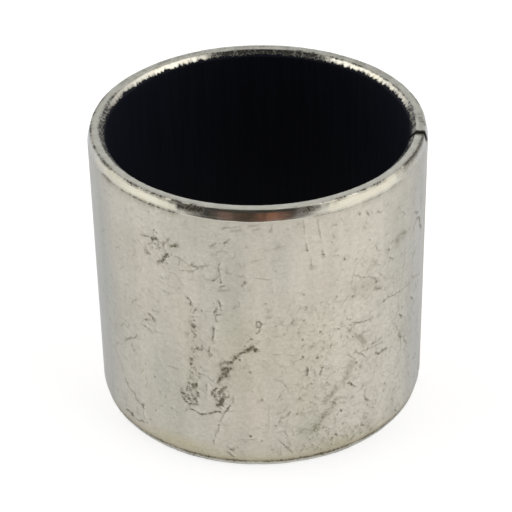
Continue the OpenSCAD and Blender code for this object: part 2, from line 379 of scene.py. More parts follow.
# Broad soft tints of the plating, one of them painted light: centre, spread and strength
TINTS = {
    # Painted light: paler patches, mostly on the right side of the front, for the brighter light there
    "bright": [
        (30, 14, 26, 12, 0.9), (12, 13, 6, 4, 0.3), (30, 4, 6, 2, 0.3), (45, 4, 18, 6, 0.6),
        (20, 20, 14, 6, 0.5), (62, 12, 12, 12, 0.6), (-160, 12, 40, 9, 0.6),
    ],
    "cool": [
        (-12, 18.5, 5.5, 5, 0.65), (-9, 14.5, 4, 2.5, 0.3), (6, 20, 6, 3, 0.4), (-30, 5, 6, 4, 0.6),
        (-36, 8, 5, 4, 0.5), (56, 17.5, 9, 4.5, 0.5), (64, 9, 8, 5, 0.4), (-66, 14, 9, 9, 0.7),
        (15, 3.6, 3, 1.5, 0.6), (10, 15.2, 3, 2, 0.35), (-22, 22.5, 6, 1.8, 0.4), (30, 4, 8, 2.5, 0.15),
        (120, 15, 14, 6, 0.8), (170, 9, 12, 5, 0.7), (-130, 17, 14, 5, 0.7),
    ],
    "pink": [
        (-3, 6, 7, 4, 0.8), (0, 20, 3, 2.2, 0.6), (22, 17, 7, 3.5, 0.6), (-26, 14, 5, 3, 0.6),
        (-45, 17, 7, 4, 0.5), (36, 18, 4, 2, 0.4), (12, 9, 4, 2, 0.4), (-58, 17, 4, 2, 0.5),
        (100, 8, 12, 4, 0.6), (200, 18, 14, 5, 0.6),
    ],
    "olive": [
        (0, 0.9, 60, 0.7, 0.6), (16, 11.5, 8, 3, 0.3), (-30, 1.4, 12, 0.7, 0.8), (24, 1.2, 8, 0.8, 0.7),
        (8, 12.5, 6, 3, 0.2), (-24, 10, 3, 4, 0.25), (-6, 12, 9, 4, 0.5), (14, 5.5, 6, 3, 0.25),
        (140, 5, 12, 3, 0.5), (-150, 6, 12, 4, 0.5),
    ],
}
# Random flecks: count, range of turns, range of heights, lean and range of strengths
FLECKS = [
    (1000, (-180, 180), (1.1, 23.9), 0.2, (0.10, 0.35)),
    (560, (4, 64), (1.1, 16), 0.8, (0.15, 0.43)),
    (110, (-62, -18), (2, 23), 0.3, (0.15, 0.42)),
    (110, (44, 72), (2, 23), 0.9, (0.20, 0.50)),
]
# The sides that the photograph doesn't show, with their scratches, stains and spots of each stain
HIDDEN_TURNS = (95, 268)
HIDDEN_SCRATCHES, HIDDEN_STAINS, STAIN_SPOTS = 75, 14, 9

# Dirt and painted shade round the rims: seed, least and added share, base, and spans of turns with soft ends
# and a strength
TOP_EDGE = (91, 0.45, 0.55, 0.15, [(-62, -29, 4, 0.7), (17, 52, 4, 0.35)])
# Painted shadow: a dark line along the foot chamfer near the floor, reaching a little onto the wall
FOOT_SHADOW_LINE = (93, 0.6, 0.4, 0.5, [(-60, 62, 10, 0.45)])
# Painted shade: the lead-in chamfer darker at both sides of the front
LEAD_IN_SIDE_SHADE = (0, 1, 0, 0, [(-80, -52, 10, 0.16), (58, 72, 6, 0.14)])
# Painted reflection: dark patches on the lead-in chamfer that widen the dark band it reflects
LEAD_IN_DARK_REFLECTION = (117, 0.75, 0.3, 0, [(-26.5, -19, 1.5, 1), (13, 17, 2, 0.7)])
LAND_SPECKS = (95, 0.35, 0.65, 0.35, [
    (-112, -64, 6, 0.75), (-60, -20, 6, 0.55), (80, 130, 5, 0.35), (26, 52, 6, 0.4), (60, 79, 4, 1.8),
])
LAND_FILM = (111, 0.5, 1, 0.34, [(-110, 110, 12, -0.24), (-18, 84, 8, -0.05)])
LAND_SCRAPE = (107, 0.15, 0.35, 0, [(81, 94, 1, 1)])
MOUTH_EDGE = (103, 0.4, 0.6, 0.1, [(92, 165, 6, 0.7), (-180, -112, 6, 0.35), (-112, -60, 6, 0.6)])
# Painted shade with grime on the mouth chamfers, dark where they reflect the dark bore
MOUTH_SHADE_AND_GRIME = (0, 1, 0, 0, [(79, 98, 8, 1), (-103, -50, 10, 1), (157, 180, 9, 1.3), (-180, -170, 14, 1.3)])

# Rows of the outer chamfers: share of the way, and from where the lower one is an edge of its own, painted
# paler as a reflection
CHAMFER_ROWS = (0, 0.1, 0.3, 0.5, 0.7)
FOOT_EDGE_FROM = 0.5
# Dirt and painted shade of those rows and of the next: share of the edge's line, dirt at the top and painted
# shadow at the foot, and for the upper one also a film, with the painted side shade added, and a painted dark
# reflection
LEAD_IN_DIRT_AND_SHADE = ((1, 0.25, 0), (0.7, 0.16, 0), (0.1, 0, 0.2), (0, 0, 0.8), (0, 0, 1), (0, 0, 0.8))
FOOT_SHADOW_SHARES = (0.1, 0.15, 0.5, 1, 0.3, 0)
# Rows of the mouth chamfers: share of the way, of the edge's dirt and of the dark grains
MOUTH_ROWS = ((0.18, 0.8, 0), (0.4, 0.1, 0.1), (0.72, 0, 0.55))
# Reach onto the wall of the top edge's dirt and of the foot's painted shadow, how much of that shadow, and
# reach of the joint's painted shade
TOP_FADE, FOOT_SHADOW_FADE, FOOT_SHADOW_ON_WALL, JOINT_SHADE_FADE = 0.14, 0.09, 0.3, 0.22
# Painted highlights beside the marks: strength, offset along the strip and up, and room that the mark takes
HIGHLIGHT_STRENGTH, HIGHLIGHT_ALONG, HIGHLIGHT_UP, HIGHLIGHT_ROOM = 0.45, 0.11, 0.09, 1.2


# Noise and surface coordinates
def hashed(ix, iy, seed):
    value = np.sin(ix * 127.1 + iy * 311.7 + seed * 74.7) * 43758.5453
    return value - np.floor(value)


def noise(x, y, seed):
    """Smooth value noise from -1 to 1, with one lattice step per unit."""
    x, y = np.broadcast_arrays(x, y)
    ix, iy = np.floor(x), np.floor(y)
    fx, fy = x - ix, y - iy
    fx, fy = fx * fx * (3 - 2 * fx), fy * fy * (3 - 2 * fy)
    low = hashed(ix, iy, seed) * (1 - fx) + hashed(ix + 1, iy, seed) * fx
    high = hashed(ix, iy + 1, seed) * (1 - fx) + hashed(ix + 1, iy + 1, seed) * fx
    return 2 * (low * (1 - fy) + high * fy) - 1


def unit(value):
    return np.clip(value, 0, 1)


def wavy(x, seed, *waves):
    """Sum of noises along the strip, each with its size and its steps per millimetre."""
    return sum(size * noise(x * steps, 0, seed + k) for k, (size, steps) in enumerate(waves))


def broken(x, seed):
    """Broken line along the strip, from 0 to 1."""
    return unit(0.5 + wavy(x, seed, (0.55, 1.4), (0.4, 5.5)))


def strip_x(turn):
    """Place along the rolled strip, in millimetres, of a turn in degrees to the right of the front."""
    angle = np.radians(np.mod(np.asarray(turn, float) + FRONT_DEG, 360))
    return (angle - JOINT_START) / ROLLED * STRIP


def turn_of(x):
    """Degrees to the right of the front of a place along the strip, from -180 to 180."""
    angle = np.degrees(JOINT_START + x / STRIP * ROLLED)
    return np.mod(angle - FRONT_DEG + 180, 360) - 180


def on_bush(x, r, z):
    """Points in metres of a place along the strip, a radius and a height in millimetres."""
    x, r, z = np.broadcast_arrays(x, r, z)
    r = np.minimum(r, OUTER_R - JOINT_BREAK + np.minimum(x, STRIP - x))
    start = np.arcsin(HALF_GAP / r)
    angle = start + x / STRIP * (2 * math.pi - 2 * start)
    return np.stack([r * np.cos(angle), r * np.sin(angle), z], axis=-1) * MM


# Masks of the marks on the wall
def flecks(dice, count, turns, heights, lean, strengths):
    """Short dark flecks at random places between two turns and two heights."""
    marks = []
    for _ in range(count):
        turn, height, slope = dice.uniform(*turns), dice.uniform(*heights), dice.normal(lean, 1.0)
        size = 0.03 + 0.24 * dice.uniform() ** 1.6
        step = (math.degrees(size * math.cos(slope) / OUTER_R), size * math.sin(slope))
        marks.append((dice.uniform(0.09, 0.17), dice.uniform(*strengths),
                      [(turn - step[0], height - step[1]), (turn + step[0], height + step[1])]))
    return marks


def hidden_scratch(dice):
    """A bent scratch of four short steps."""
    turn, height = dice.uniform(*HIDDEN_TURNS), dice.uniform(1.5, 23.5)
    lean, bend, length = dice.normal(0.1, 0.3), dice.normal(0, 0.25), dice.uniform(0.4, 2.6)
    places = [(turn, height)]
    for _ in range(4):
        turn += math.degrees(length / 4 * math.cos(lean) / OUTER_R)
        height += length / 4 * math.sin(lean)
        lean += bend
        places.append((turn, height))
    return (dice.uniform(0.12, 0.22), dice.uniform(0.3, 0.75), places)


def scattered_marks():
    """Small flecks all round, and scratches and stains on the hidden sides."""
    dice = np.random.default_rng(SCATTER_SEED)
    marks = []
    for row in FLECKS:
        marks += flecks(dice, *row)
    marks += [hidden_scratch(dice) for _ in range(HIDDEN_SCRATCHES)]
    for _ in range(HIDDEN_STAINS):
        turn, height = dice.uniform(*HIDDEN_TURNS), dice.uniform(2, 23)
        for _ in range(STAIN_SPOTS):
            spot = (turn + dice.normal(0, 1.6), height + dice.normal(0, 0.6))
            marks.append((dice.uniform(0.14, 0.34), dice.uniform(0.4, 0.9), [spot]))
    return marks


def stippled_marks():
    dice = np.random.default_rng(STIPPLE_SEED)
    marks = []
    for turn, height, turn_spread, height_spread, count, strength in STIPPLE:
        for _ in range(count):
            spot = (turn + dice.normal(0, turn_spread), height + dice.normal(0, height_spread))
            marks.append((dice.uniform(0.10, 0.24), strength * dice.uniform(0.45, 1.0), [spot]))
    return marks


def all_marks():
    """Every mark but those that would run across the joint."""
    marks = [(LINE_WIDENING * width, strength, places) for width, strength, *places in LINES]
    marks += [(DOT_WIDENING * width, strength, [spot]) for width, strength, *spots in DOTS for spot in spots]
    marks += scattered_marks() + stippled_marks()
    return [mark for mark in marks if np.ptp(strip_places(mark[2])[0]) < STRIP / 2]


def strip_places(places):
    return strip_x([place[0] for place in places]), np.array([place[1] for place in places], float)


def segments(px, pz):
    return zip(px[:-1], pz[:-1], px[1:], pz[1:])


def distance_to(x, z, places):
    """Distance in millimetres from points on the wall to a spot or a line."""
    px, pz = strip_places(places)
    nearest = np.hypot(x - px[0], z - pz[0])
    for ax, az, bx, bz in segments(px, pz):
        dx, dz = bx - ax, bz - az
        t = unit(((x - ax) * dx + (z - az) * dz) / (dx * dx + dz * dz))
        nearest = np.minimum(nearest, np.hypot(x - ax - t * dx, z - az - t * dz))
    return nearest


def stain_at(x, z, marks):
    """Strength of the dark marks at points on the wall."""
    warped_x = x + 0.05 * noise(x * 6, z * 6, STAIN_SEED)
    warped_z = z + 0.05 * noise(x * 6, z * 6, STAIN_SEED + 1)
    swell = 1 + 0.45 * noise(x * 3.3, z * 3.3, STAIN_SEED + 2)
    patchy = 0.85 + 0.3 * noise(x * 4.7, z * 4.7, STAIN_SEED + 3)
    stain = np.zeros_like(x)
    for width, strength, places in marks:
        px, pz = strip_places(places)
        near = (x > px.min() - 2 * width) & (x < px.max() + 2 * width)
        near &= (z > pz.min() - 2 * width) & (z < pz.max() + 2 * width)
        away = distance_to(warped_x[near], warped_z[near], places) / (width / 2 * swell[near])
        here = strength * patchy[near] * unit((MARK_REACH - away) / MARK_FADE)
        stain[near] = np.maximum(stain[near], here)
    return stain


def smear_at(x, z):
    smear = np.zeros_like(x)
    for width, strength, *places in SMEARS:
        smear = np.maximum(smear, strength * np.exp(-(distance_to(x, z, places) / (0.6 * width)) ** 2))
    return smear


def tint_at(turn, z, patches):
    tint = np.zeros_like(z)
    for centre, height, turn_spread, height_spread, strength in patches:
        off = np.mod(turn - centre + 180, 360) - 180
        tint += strength * np.exp(-(off / turn_spread) ** 2 - ((z - height) / height_spread) ** 2)
    return unit(tint)


def spot_points(x, z, half):
    """A spot's centre, and two rings round it."""
    found = [(x, z)]
    for reach, count in ((MARK_REACH / 2 * half, 6), (MARK_REACH * half, 8)):
        angles = np.arange(count) * 2 * math.pi / count
        found += zip(x + reach * np.cos(angles), z + reach * np.sin(angles))
    return np.array(found)


def mark_points(width, places):
    """Extra wall points across and along one mark, so that its outline comes out crisp."""
    half = width / 2
    px, pz = strip_places(places)
    if len(places) == 1:
        return spot_points(px[0], pz[0], half)
    found = []
    for ax, az, bx, bz in segments(px, pz):
        length = math.hypot(bx - ax, bz - az)
        t = np.linspace(0, 1, max(2, math.ceil(length / MARK_STEP)))
        for offset in (-MARK_REACH, -MARK_REACH / 2, 0, MARK_REACH / 2, MARK_REACH):
            side_x, side_z = -offset * half * (bz - az) / length, offset * half * (bx - ax) / length
            found.append(np.stack([ax + t * (bx - ax) + side_x, az + t * (bz - az) + side_z], 1))
    return np.concatenate(found)


# Dirt and painted shade of the rims
def rim_dirt_and_shade(x, line, top=True):
    """Strength of a dark line along the strip, of dirt for some lines and of painted shade for others."""
    seed, least, added, total, spans = line
    turn = turn_of(x)
    for low, high, soft, strength in spans:
        total = total + strength * unit((turn - low) / soft + 1) * unit((high - turn) / soft + 1)
    return (least + added * broken(x, seed if top else seed + 2)) * total


def chamfer_dirt_and_shade(x, top):
    """Dirt, painted shade and painted reflection on the rows of an outer chamfer, from the wall to the flat
    rim.
    """
    if not top:
        return [share * rim_dirt_and_shade(x, FOOT_SHADOW_LINE) for share in FOOT_SHADOW_SHARES]
    line, darkening, dark_reflection = (rim_dirt_and_shade(x, line) for line in (TOP_EDGE, LEAD_IN_SIDE_SHADE, LEAD_IN_DARK_REFLECTION))
    rows = []
    for share, film, reflection_share in LEAD_IN_DIRT_AND_SHADE:
        rows.append(np.maximum(np.maximum(share * line, film + darkening), reflection_share * dark_reflection))
    return rows


# Rims: rows of radius and depth below the end, from the wall round to the bonded face
def between(a, b, t):
    return (a[0] + (b[0] - a[0]) * t, a[1] + (b[1] - a[1]) * t)


def bulged(a, b, t):
    """Place on a chamfer between two corners, which bows out a little."""
    r, depth = between(a, b, t)
    bow = 4 * t * (1 - t) * CHAMFER_BOW / np.hypot(b[0] - a[0], b[1] - a[1])
    return (r + bow * (a[1] - b[1]), depth + bow * (b[0] - a[0]))


def rounded(a, corner, b, radius):
    """Three rows that round a corner off between its neighbours."""
    first = between(corner, a, radius / np.hypot(a[0] - corner[0], a[1] - corner[1]))
    last = between(corner, b, radius / np.hypot(b[0] - corner[0], b[1] - corner[1]))
    middle = between(between(first, last, 0.5), corner, 0.5)
    return [first, middle, last]


def level(x, r, depth):
    """Even row of one radius and depth."""
    return (np.full_like(x, r), np.full_like(x, depth))


def lead_in_depth(x, seed):
    return LEAD_IN + wavy(x, seed, (0.03, 0.3), (0.02, 1.7))


def rim_corners(x, seed):
    """Corners of the rim: the wall's edge, both edges of the flat rim and the torn border of the steel."""
    land = OUTER_R - LEAD_IN_DROP + wavy(x, seed + 2, (0.025, 0.25), (0.012, 2.6))
    chip = 0.03 * unit(noise(x * 1.9, 0, seed + 4) - 0.55) / 0.45
    mouth = BORE_R + MOUTH + wavy(x, seed + 5, (0.02, 0.4), (0.015, 4.1))
    tear = BOND_R + wavy(x, seed + 7, (0.03, 0.9), (0.105, 7.3))
    tear = np.clip(tear, TEAR_LOW, TEAR_HIGH)
    wall_edge = (np.full_like(x, OUTER_R), lead_in_depth(x, seed))
    return [wall_edge, (land, chip), (mouth, np.zeros_like(x)), (tear, mouth - tear)]


def land_rows(x, top, corners, edge_finish, edge_painted_dark):
    """Rows of the flat rim with its two rounded edges."""
    wall_edge, land_edge, mouth_edge, tear = corners
    outer = rounded(wall_edge, land_edge, mouth_edge, LAND_ROUNDING)
    inner = rounded(land_edge, mouth_edge, tear, MOUTH_ROUNDING)
    specks, line = unit(rim_dirt_and_shade(x, LAND_SPECKS, top)), rim_dirt_and_shade(x, MOUTH_EDGE, top)
    wear = rim_dirt_and_shade(x, LAND_SCRAPE, top) + rim_dirt_and_shade(x, LAND_FILM)
    return [
        (outer[0], edge_finish, np.maximum(0.6 * specks, edge_painted_dark)),
        (outer[1], edge_finish, specks),
        (outer[2], "land", 0.9 * specks),
        (between(land_edge, mouth_edge, 0.17), "land", 0.85 * specks),
        (between(land_edge, mouth_edge, 0.3), "land", np.maximum(wear, 0.3 * specks)),
        (between(land_edge, mouth_edge, 0.6), "land", wear),
        (inner[0], "land", 0.4 * line),
        (inner[1], "land", line),
        (inner[2], "mouth", line),
    ]


def mouth_rows(x, top, mouth_edge, tear):
    """Rows of the mouth chamfer down to its torn border, and the start of the bonded face."""
    line = rim_dirt_and_shade(x, MOUTH_EDGE, top)
    grains = unit(0.35 + wavy(x, GRAIN_SEED if top else GRAIN_SEED + 2, (0.8, 4.3)))
    shade = unit((0.8 + wavy(x, SHADE_AND_GRIME_SEED, (0.3, 4))) * rim_dirt_and_shade(x, MOUTH_SHADE_AND_GRIME))
    rows = []
    for t, darkening, speckled in MOUTH_ROWS:
        dirt_and_shade = np.maximum(darkening * line, np.maximum(speckled * grains, shade))
        rows.append((between(mouth_edge, tear, t), "mouth", dirt_and_shade))
    rows.append((tear, "wall", 0.4 + 0.5 * grains))
    rows.append((level(x, BOND_R, MOUTH + BOND_START), "wall", np.zeros_like(x)))
    return rows


def shell_rim(x, seed):
    """Rows of the steel rim, each with its finish up to the next row and the strength of its dirt and painted
    shade.
    """
    top = seed == TOP_SEED
    corners = rim_corners(x, seed)
    chamfer, edge = ("lead_in", "lead_in") if top else ("foot", "foot_edge")
    *dirt_and_shade, edge_painted_dark = chamfer_dirt_and_shade(x, top)
    rows = []
    for t, grime_and_shade in zip(CHAMFER_ROWS, dirt_and_shade):
        rows.append((bulged(*corners[:2], t), chamfer if t < FOOT_EDGE_FROM else edge, grime_and_shade))
    rows += land_rows(x, top, corners, edge, edge_painted_dark)
    rows += mouth_rows(x, top, *corners[2:])
    # Painted shade: every rim row darkens fully toward the joint gap
    ends = unit(1.4 - np.minimum(x, STRIP - x) / JOINT_SHADE_FADE)
    return [(row, finish, np.maximum(grime_and_shade, ends)) for row, finish, grime_and_shade in rows]


def liner_rim(x, seed):
    """Rows of the sliding layer's rim, from its back to the bore."""
    tear = rim_corners(x, seed)[3]
    bore_edge, deeper = level(x, BORE_R, MOUTH), level(x, BORE_R, MOUTH + 1)
    rows = [level(x, BOND_R, MOUTH + BOND_START), tear]
    rows += [between(tear, bore_edge, t) for t in (0.35, 0.7)]
    return rows + rounded(tear, bore_edge, deeper, BORE_ROUNDING)


class Surface:
    """Rows of points with their strip coordinates and their dirt and painted shade, and faces with their
    finish.
    """

    def __init__(self):
        self.rows, self.faces, self.finish, self.count = [], [], [], 0

    def add(self, x, r, z, along, stain=0.0):
        x, r, z, along, stain = np.broadcast_arrays(x, r, z, along, stain)
        self.rows.append(np.column_stack([on_bush(x, r, z), x, along, stain]))
        self.count += len(x)
        return np.arange(self.count - len(x), self.count)

    def join(self, row_a, row_b, finish):
        self.faces += zip(row_a[:-1], row_a[1:], row_b[1:], row_b[:-1])
        self.finish += [finish] * (len(row_a) - 1)

    def cap(self, loop, finish):
        self.faces.append(tuple(loop))
        self.finish.append(finish)

    def mesh(self, name, finishes):
        mesh = bpy.data.meshes.new(name)
        rows = np.concatenate(self.rows)
        faces = [[int(i) for i in face] for face in self.faces]
        mesh.from_pydata(rows[:, :3].tolist(), [], faces)
        mesh.polygons.foreach_set("material_index", [finishes.index(finish) for finish in self.finish])
        built = bmesh.new()
        built.from_mesh(mesh)
        bmesh.ops.recalc_face_normals(built, faces=built.faces)
        built.to_mesh(mesh)
        built.free()
        mesh.polygons.foreach_set("use_smooth", [len(face) < 5 for face in faces])
        corners = np.zeros(len(mesh.loops), np.int32)
        mesh.loops.foreach_get("vertex_index", corners)
        strip = mesh.uv_layers.new(name="strip")
        strip.uv.foreach_set("vector", rows[corners, 3:5].astype(np.float32).ravel())
        # The stain layer holds the marks and dirt, and also the painted shade, shadow and dark reflection
        add_attribute(mesh, "stain", rows[:, 5])
        mesh.update()
        return mesh


def add_attribute(mesh, name, values):
    layer = mesh.attributes.new(name, "FLOAT", "POINT")
    layer.data.foreach_set("value", np.asarray(values, np.float32))


columns = np.unique(np.concatenate([
    np.linspace(0, STRIP, RIM_COLUMNS),
    [JOINT_BREAK / 2, JOINT_BREAK, STRIP - JOINT_BREAK, STRIP - JOINT_BREAK / 2],
]))


# Steel shell: the wall is a flat strip of triangles, denser at the marks, and the rims are rows of quads
def wall_height(x, w):
    """Height of a wall point from its share of the way between the two lead-in edges."""
    low = lead_in_depth(x, BOTTOM_SEED)
    high = LENGTH - lead_in_depth(x, TOP_SEED)
    return low + (high - low) * w / WALL


def border_points():
    """Points along the wall's four edges and along a second row close inside each."""
    sides = np.linspace(0, WALL, 1 + round(WALL / SIDE_STEP))[1:-1]
    rows = (0, WALL, EDGE_ROW, WALL - EDGE_ROW)
    ends = (0, STRIP, JOINT_BREAK, STRIP - JOINT_BREAK)
    found = [np.stack([columns, np.full_like(columns, w)], 1) for w in rows]
    return found + [np.stack([np.full_like(sides, x), sides], 1) for x in ends]


def wall_points(marks):
    inner = []
    for k, w in enumerate(np.arange(LATTICE_LOW, LATTICE_HIGH, LATTICE_STEP)):
        x = np.arange(JOINT_ROOM + WALL_STEP / 2 * (k % 2), STRIP - JOINT_ROOM, WALL_STEP)
        inner.append(np.stack([x, np.full_like(x, w)], 1))
    inner += [mark_points(width, places) - (0, LEAD_IN) for width, _, places in marks]
    inner = np.concatenate(inner)
    x, w = inner[:, 0], inner[:, 1]
    inside = (x > JOINT_ROOM) & (x < STRIP - JOINT_ROOM) & (w > RIM_ROOM) & (w < WALL - RIM_ROOM)
    inner = inner[inside]
    kept = np.unique(np.round(inner / SAME_POINT).astype(int), axis=0, return_index=True)[1]
    return np.concatenate(border_points() + [inner[np.sort(kept)]])


def wall_stain_and_shadow(x, z, w, marks):
    """Dirt of the wall: its marks and the dirt of the top rim edge that reaches onto it, with the painted
    shadow of the foot.
    """
    stain = stain_at(x, z, marks)
    stain = np.maximum(stain, rim_dirt_and_shade(x, TOP_EDGE) * unit(1 - (WALL - w) / TOP_FADE))
    return np.maximum(stain, FOOT_SHADOW_ON_WALL * rim_dirt_and_shade(x, FOOT_SHADOW_LINE) * unit(1 - w / FOOT_SHADOW_FADE))


def picked(place, value, key):
    """Wall points whose place has a value, in the order of a key."""
    found = np.flatnonzero(np.abs(place - value) < EDGE_NEAR)
    return found[np.argsort(key[found])]


def add_rim(surface, wall_row, top):
    """Add the rows of one steel rim, joined to the wall's row there."""
    start = WALL if top else 0
    rim = shell_rim(columns, TOP_SEED if top else BOTTOM_SEED)
    rows, run = [wall_row], 0.0
    for (before, finish, _), ((r, depth), _, dirt_and_shade) in zip(rim[:-1], rim[1:]):
        run += float(np.mean(np.hypot(r - before[0], depth - before[1])))
        height, along = (LENGTH - depth, start + run) if top else (depth, -run)
        rows.append(surface.add(columns, r, height, along, dirt_and_shade))
        surface.join(rows[-2], rows[-1], finish)
    return rows


def add_wall_layers(mesh, x, z, stain, marks):
    """Smears, painted highlights beside the marks and tints of the plating, one of them painted light, all on
    the wall alone.
    """
    # Painted highlight: a pale edge on one side of every mark
    beside = stain_at(x - HIGHLIGHT_ALONG, z - HIGHLIGHT_UP, marks)
    layers = {"smear": smear_at(x, z), "burr": HIGHLIGHT_STRENGTH * unit(beside - HIGHLIGHT_ROOM * stain)}
    for name, patches in TINTS.items():
        layers[name] = tint_at(turn_of(x), z, patches)
    spare = np.zeros(len(mesh.vertices) - len(x))
    for name, values in layers.items():
        add_attribute(mesh, name, np.concatenate([values, spare]))


def smooth_wall(mesh, x):
    """Normals of a plain cylinder on the wall, apart from the broken edges of the joint."""
    outward = on_bush(x, OUTER_R, 0)
    outward /= np.linalg.norm(outward, axis=1)[:, None]
    broken_edge = (x <= JOINT_BREAK + 0.01) | (x >= STRIP - JOINT_BREAK - 0.01)
    outward[broken_edge] = 0
    normals = np.zeros((len(mesh.vertices), 3))
    normals[:len(x)] = outward
    mesh.normals_split_custom_set_from_vertices(normals.tolist())


def build_shell(finishes):
    surface, marks = Surface(), all_marks()
    flat, _, faces, *_ = delaunay_2d_cdt([Vector(p) for p in wall_points(marks)], [], [], 0, MERGE_NEAR)
    x, w = np.array([tuple(p) for p in flat]).T
    z = wall_height(x, w)
    stain = wall_stain_and_shadow(x, z, w, marks)
    surface.add(x, OUTER_R - MARK_DEPTH * stain, z, w, stain)
    surface.faces += faces
    surface.finish += ["wall"] * len(faces)
    top_rows = add_rim(surface, picked(w, WALL, x), True)
    foot_rows = add_rim(surface, picked(w, 0, x), False)
    surface.join(top_rows[-1], foot_rows[-1], "wall")
    for side, place in ((0, 0), (-1, STRIP)):
        loop = list(picked(x, place, w))
        loop += [row[side] for row in top_rows[1:] + foot_rows[:0:-1]]
        surface.cap(loop, "joint")
    mesh = surface.mesh("steel_shell_finish", finishes)
    add_wall_layers(mesh, x, z, stain, marks)
    smooth_wall(mesh, x)
    return mesh


# Sliding layer: rows of quads over the upper mouth, down the bore and round to its back
def build_liner():
    surface = Surface()
    rows = []
    for r, depth in liner_rim(columns, TOP_SEED):
        rows.append(surface.add(columns, r, LENGTH - depth, LENGTH - depth))
    for z in np.linspace(LENGTH - MOUTH - BORE_START, MOUTH + BORE_START, BORE_ROWS):
        r = BORE_R + BORE_UNEVEN * noise(columns * 0.6, z * 0.2, BORE_SEED)
        rows.append(surface.add(columns, r, z, z))
    for r, depth in reversed(liner_rim(columns, BOTTOM_SEED)):
        rows.append(surface.add(columns, r, depth, depth))
    for row_a, row_b in zip(rows, rows[1:] + rows[:1]):
        surface.join(row_a, row_b, "liner")
    for side in (0, -1):
        surface.cap([row[side] for row in rows], "liner")
    return surface.mesh("sliding_liner_finish", ["liner"])


# Materials
class Nodes:
    """Short calls for building a node tree."""

    def __init__(self, tree):
        self.tree = tree

    def feed(self, node, sockets):
        """Set or link inputs by name or number."""
        for key, value in sockets.items():
            if isinstance(value, bpy.types.NodeSocket):
                self.tree.links.new(value, node.inputs[key])
            else:
                node.inputs[key].default_value = value

    def put(self, kind, sockets, outlet=0, **props):
        node = self.tree.nodes.new("ShaderNode" + kind)
        for key, value in props.items():
            setattr(node, key, value)
        self.feed(node, sockets)
        return node.outputs[outlet]

    def math(self, op, a, b=0.0):
        return self.put("Math", {0: a, 1: b}, operation=op)

    def times(self, a, b):
        return self.math("MULTIPLY", a, b)

    def strip(self):
        return self.put("UVMap", {}, uv_map="strip")

    def drawn(self, place, across, along):
        """The place scaled, so that a noise on it is drawn out."""
        return self.put("Mapping", {"Vector": place, "Scale": (across, along, 1.0)})

    def noise(self, place, scale=1.0, detail=3, rough=0.6):
        return self.put("TexNoise", {"Vector": place, "Scale": scale, "Detail": detail, "Roughness": rough})

    def bump(self, height, depth):
        return self.put("Bump", {"Strength": 1.0, "Distance": depth * MM, "Height": height})

    def step(self, value, low, high, to_low=0.0, to_high=1.0):
        sockets = {0: value, 1: low, 2: high, 3: to_low, 4: to_high}
        return self.put("MapRange", sockets, interpolation_type="SMOOTHSTEP")

    def mix(self, share, a, b, blend="MIX"):
        return self.put("Mix", {0: share, 6: a, 7: b}, 2, data_type="RGBA", blend_type=blend)

    def shade(self, tone, grain, low, high, dark, pale):
        """A colour made darker where a grain is low and paler where it is high."""
        return self.mix(1.0, tone, self.step(grain, low, high, dark, pale), "MULTIPLY")

    def layer(self, name):
        """Value that the mesh holds for each of its points."""
        return self.put("Attribute", {}, 2, attribute_name=name)


def new_material(name):
    material = bpy.data.materials.new(name)
    material.use_nodes = True
    return material, Nodes(material.node_tree), material.node_tree.nodes["Principled BSDF"]


# Tones of the finishes
WARM_PLATE = (0.488, 0.462, 0.393, 1)
PALE_PLATE = (0.528, 0.502, 0.436, 1)
TINT_TONES = {
    # Paler tone, used for the painted light
    "bright": (0.592, 0.558, 0.478, 1),
    "cool": (0.424, 0.418, 0.365, 1),
    "pink": (0.522, 0.472, 0.405, 1),
    "olive": (0.455, 0.42, 0.31, 1),
}
SMEAR = (0.23, 0.218, 0.148, 1)
STAIN = (0.178, 0.158, 0.102, 1)
# Colour of the painted highlights beside the marks
MARK_HIGHLIGHT = (0.72, 0.7, 0.64, 1)
CHAMFER_WARM = (0.58, 0.55, 0.475, 1)
CHAMFER_PALE = (0.6, 0.585, 0.53, 1)
FOOT_OLIVE = (0.48, 0.43, 0.31, 1)
FOOT_TAN = (0.54, 0.495, 0.375, 1)
# Paler tones of the lower foot chamfer and its rounded edge: a painted reflection
FOOT_LIT_GREY = (0.59, 0.57, 0.5, 1)
FOOT_LIT_PALE = (0.67, 0.655, 0.585, 1)
FOOT_SHADOW_AND_DIRT = (0.11, 0.09, 0.045, 1)
LAND_GREY = (0.452, 0.444, 0.389, 1)
LAND_LIGHT = (0.525, 0.518, 0.462, 1)
EDGE_DIRT_AND_SHADE = (0.07, 0.061, 0.044, 1)
MOUTH_DIRT_AND_SHADE = (0.03, 0.027, 0.022, 1)
EDGE_TINT = (0.66, 0.69, 0.76, 1)
# Painted shade of the joint gap
JOINT_SHADE_BLACK = (0.003, 0.003, 0.003, 1)
JOINT_SHADE_BROWN = (0.018, 0.016, 0.014, 1)
LAYER_BLACK = (0.0051, 0.0058, 0.0108, 1)
LAYER_STREAK = (0.0079, 0.009, 0.0155, 1)
WHITE = (1, 1, 1, 1)

